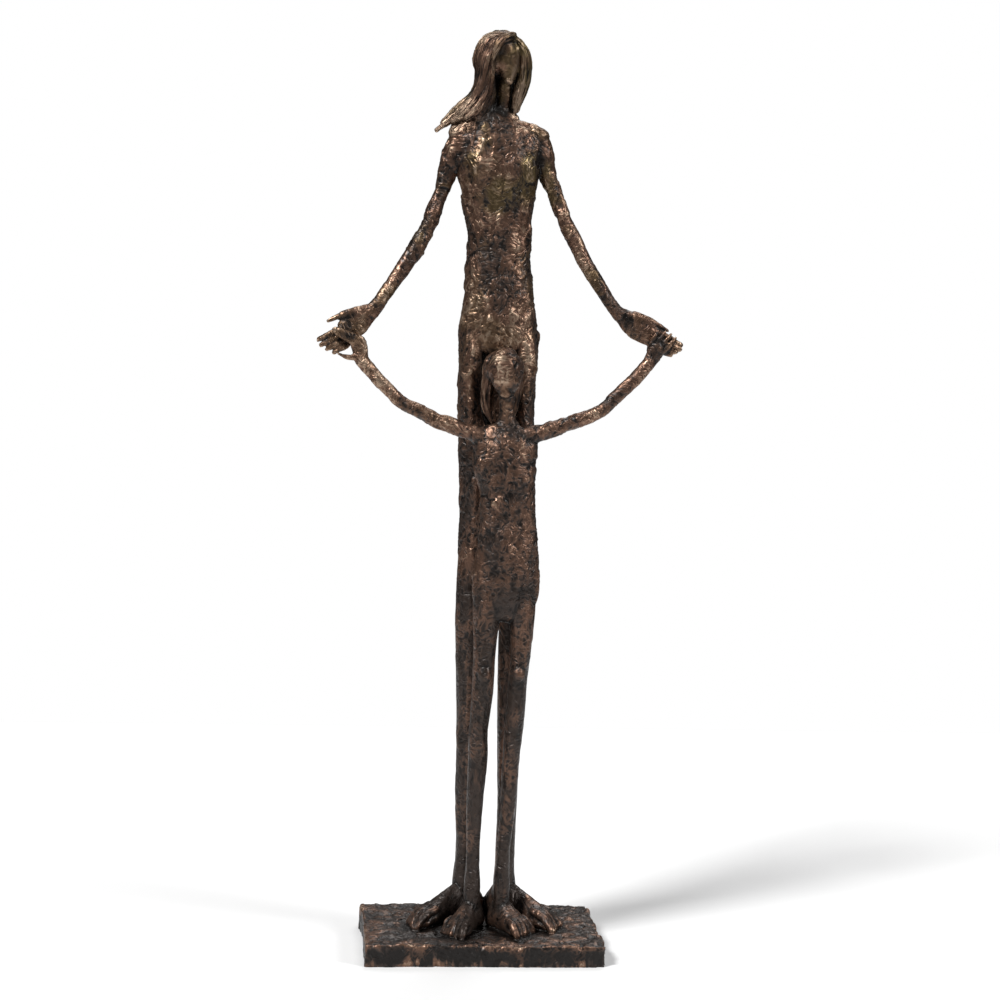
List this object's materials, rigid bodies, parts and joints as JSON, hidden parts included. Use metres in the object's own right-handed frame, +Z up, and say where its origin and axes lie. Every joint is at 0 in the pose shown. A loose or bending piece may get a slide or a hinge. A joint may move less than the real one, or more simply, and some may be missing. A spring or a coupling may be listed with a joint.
{
  "type": "mother and child sculpture",
  "caption": "Tall slim cast sculpture of a mother standing behind her child, hands joined at both sides, on one rectangular slab.",
  "frame": {"origin": "middle of the slab's flat underside, where the sculpture stands", "axes": "+Z up, -Y the front that both figures face, +X the right hand side of someone who looks at the front"},
  "size_m": [0.2378, 0.1085, 0.5995],
  "materials": {
    "bronze_patina": "satin"
  },
  "bodies": {
    "root": {"mother_and_child_sculpture": "bronze_patina"}
  },
  "joints": []
}
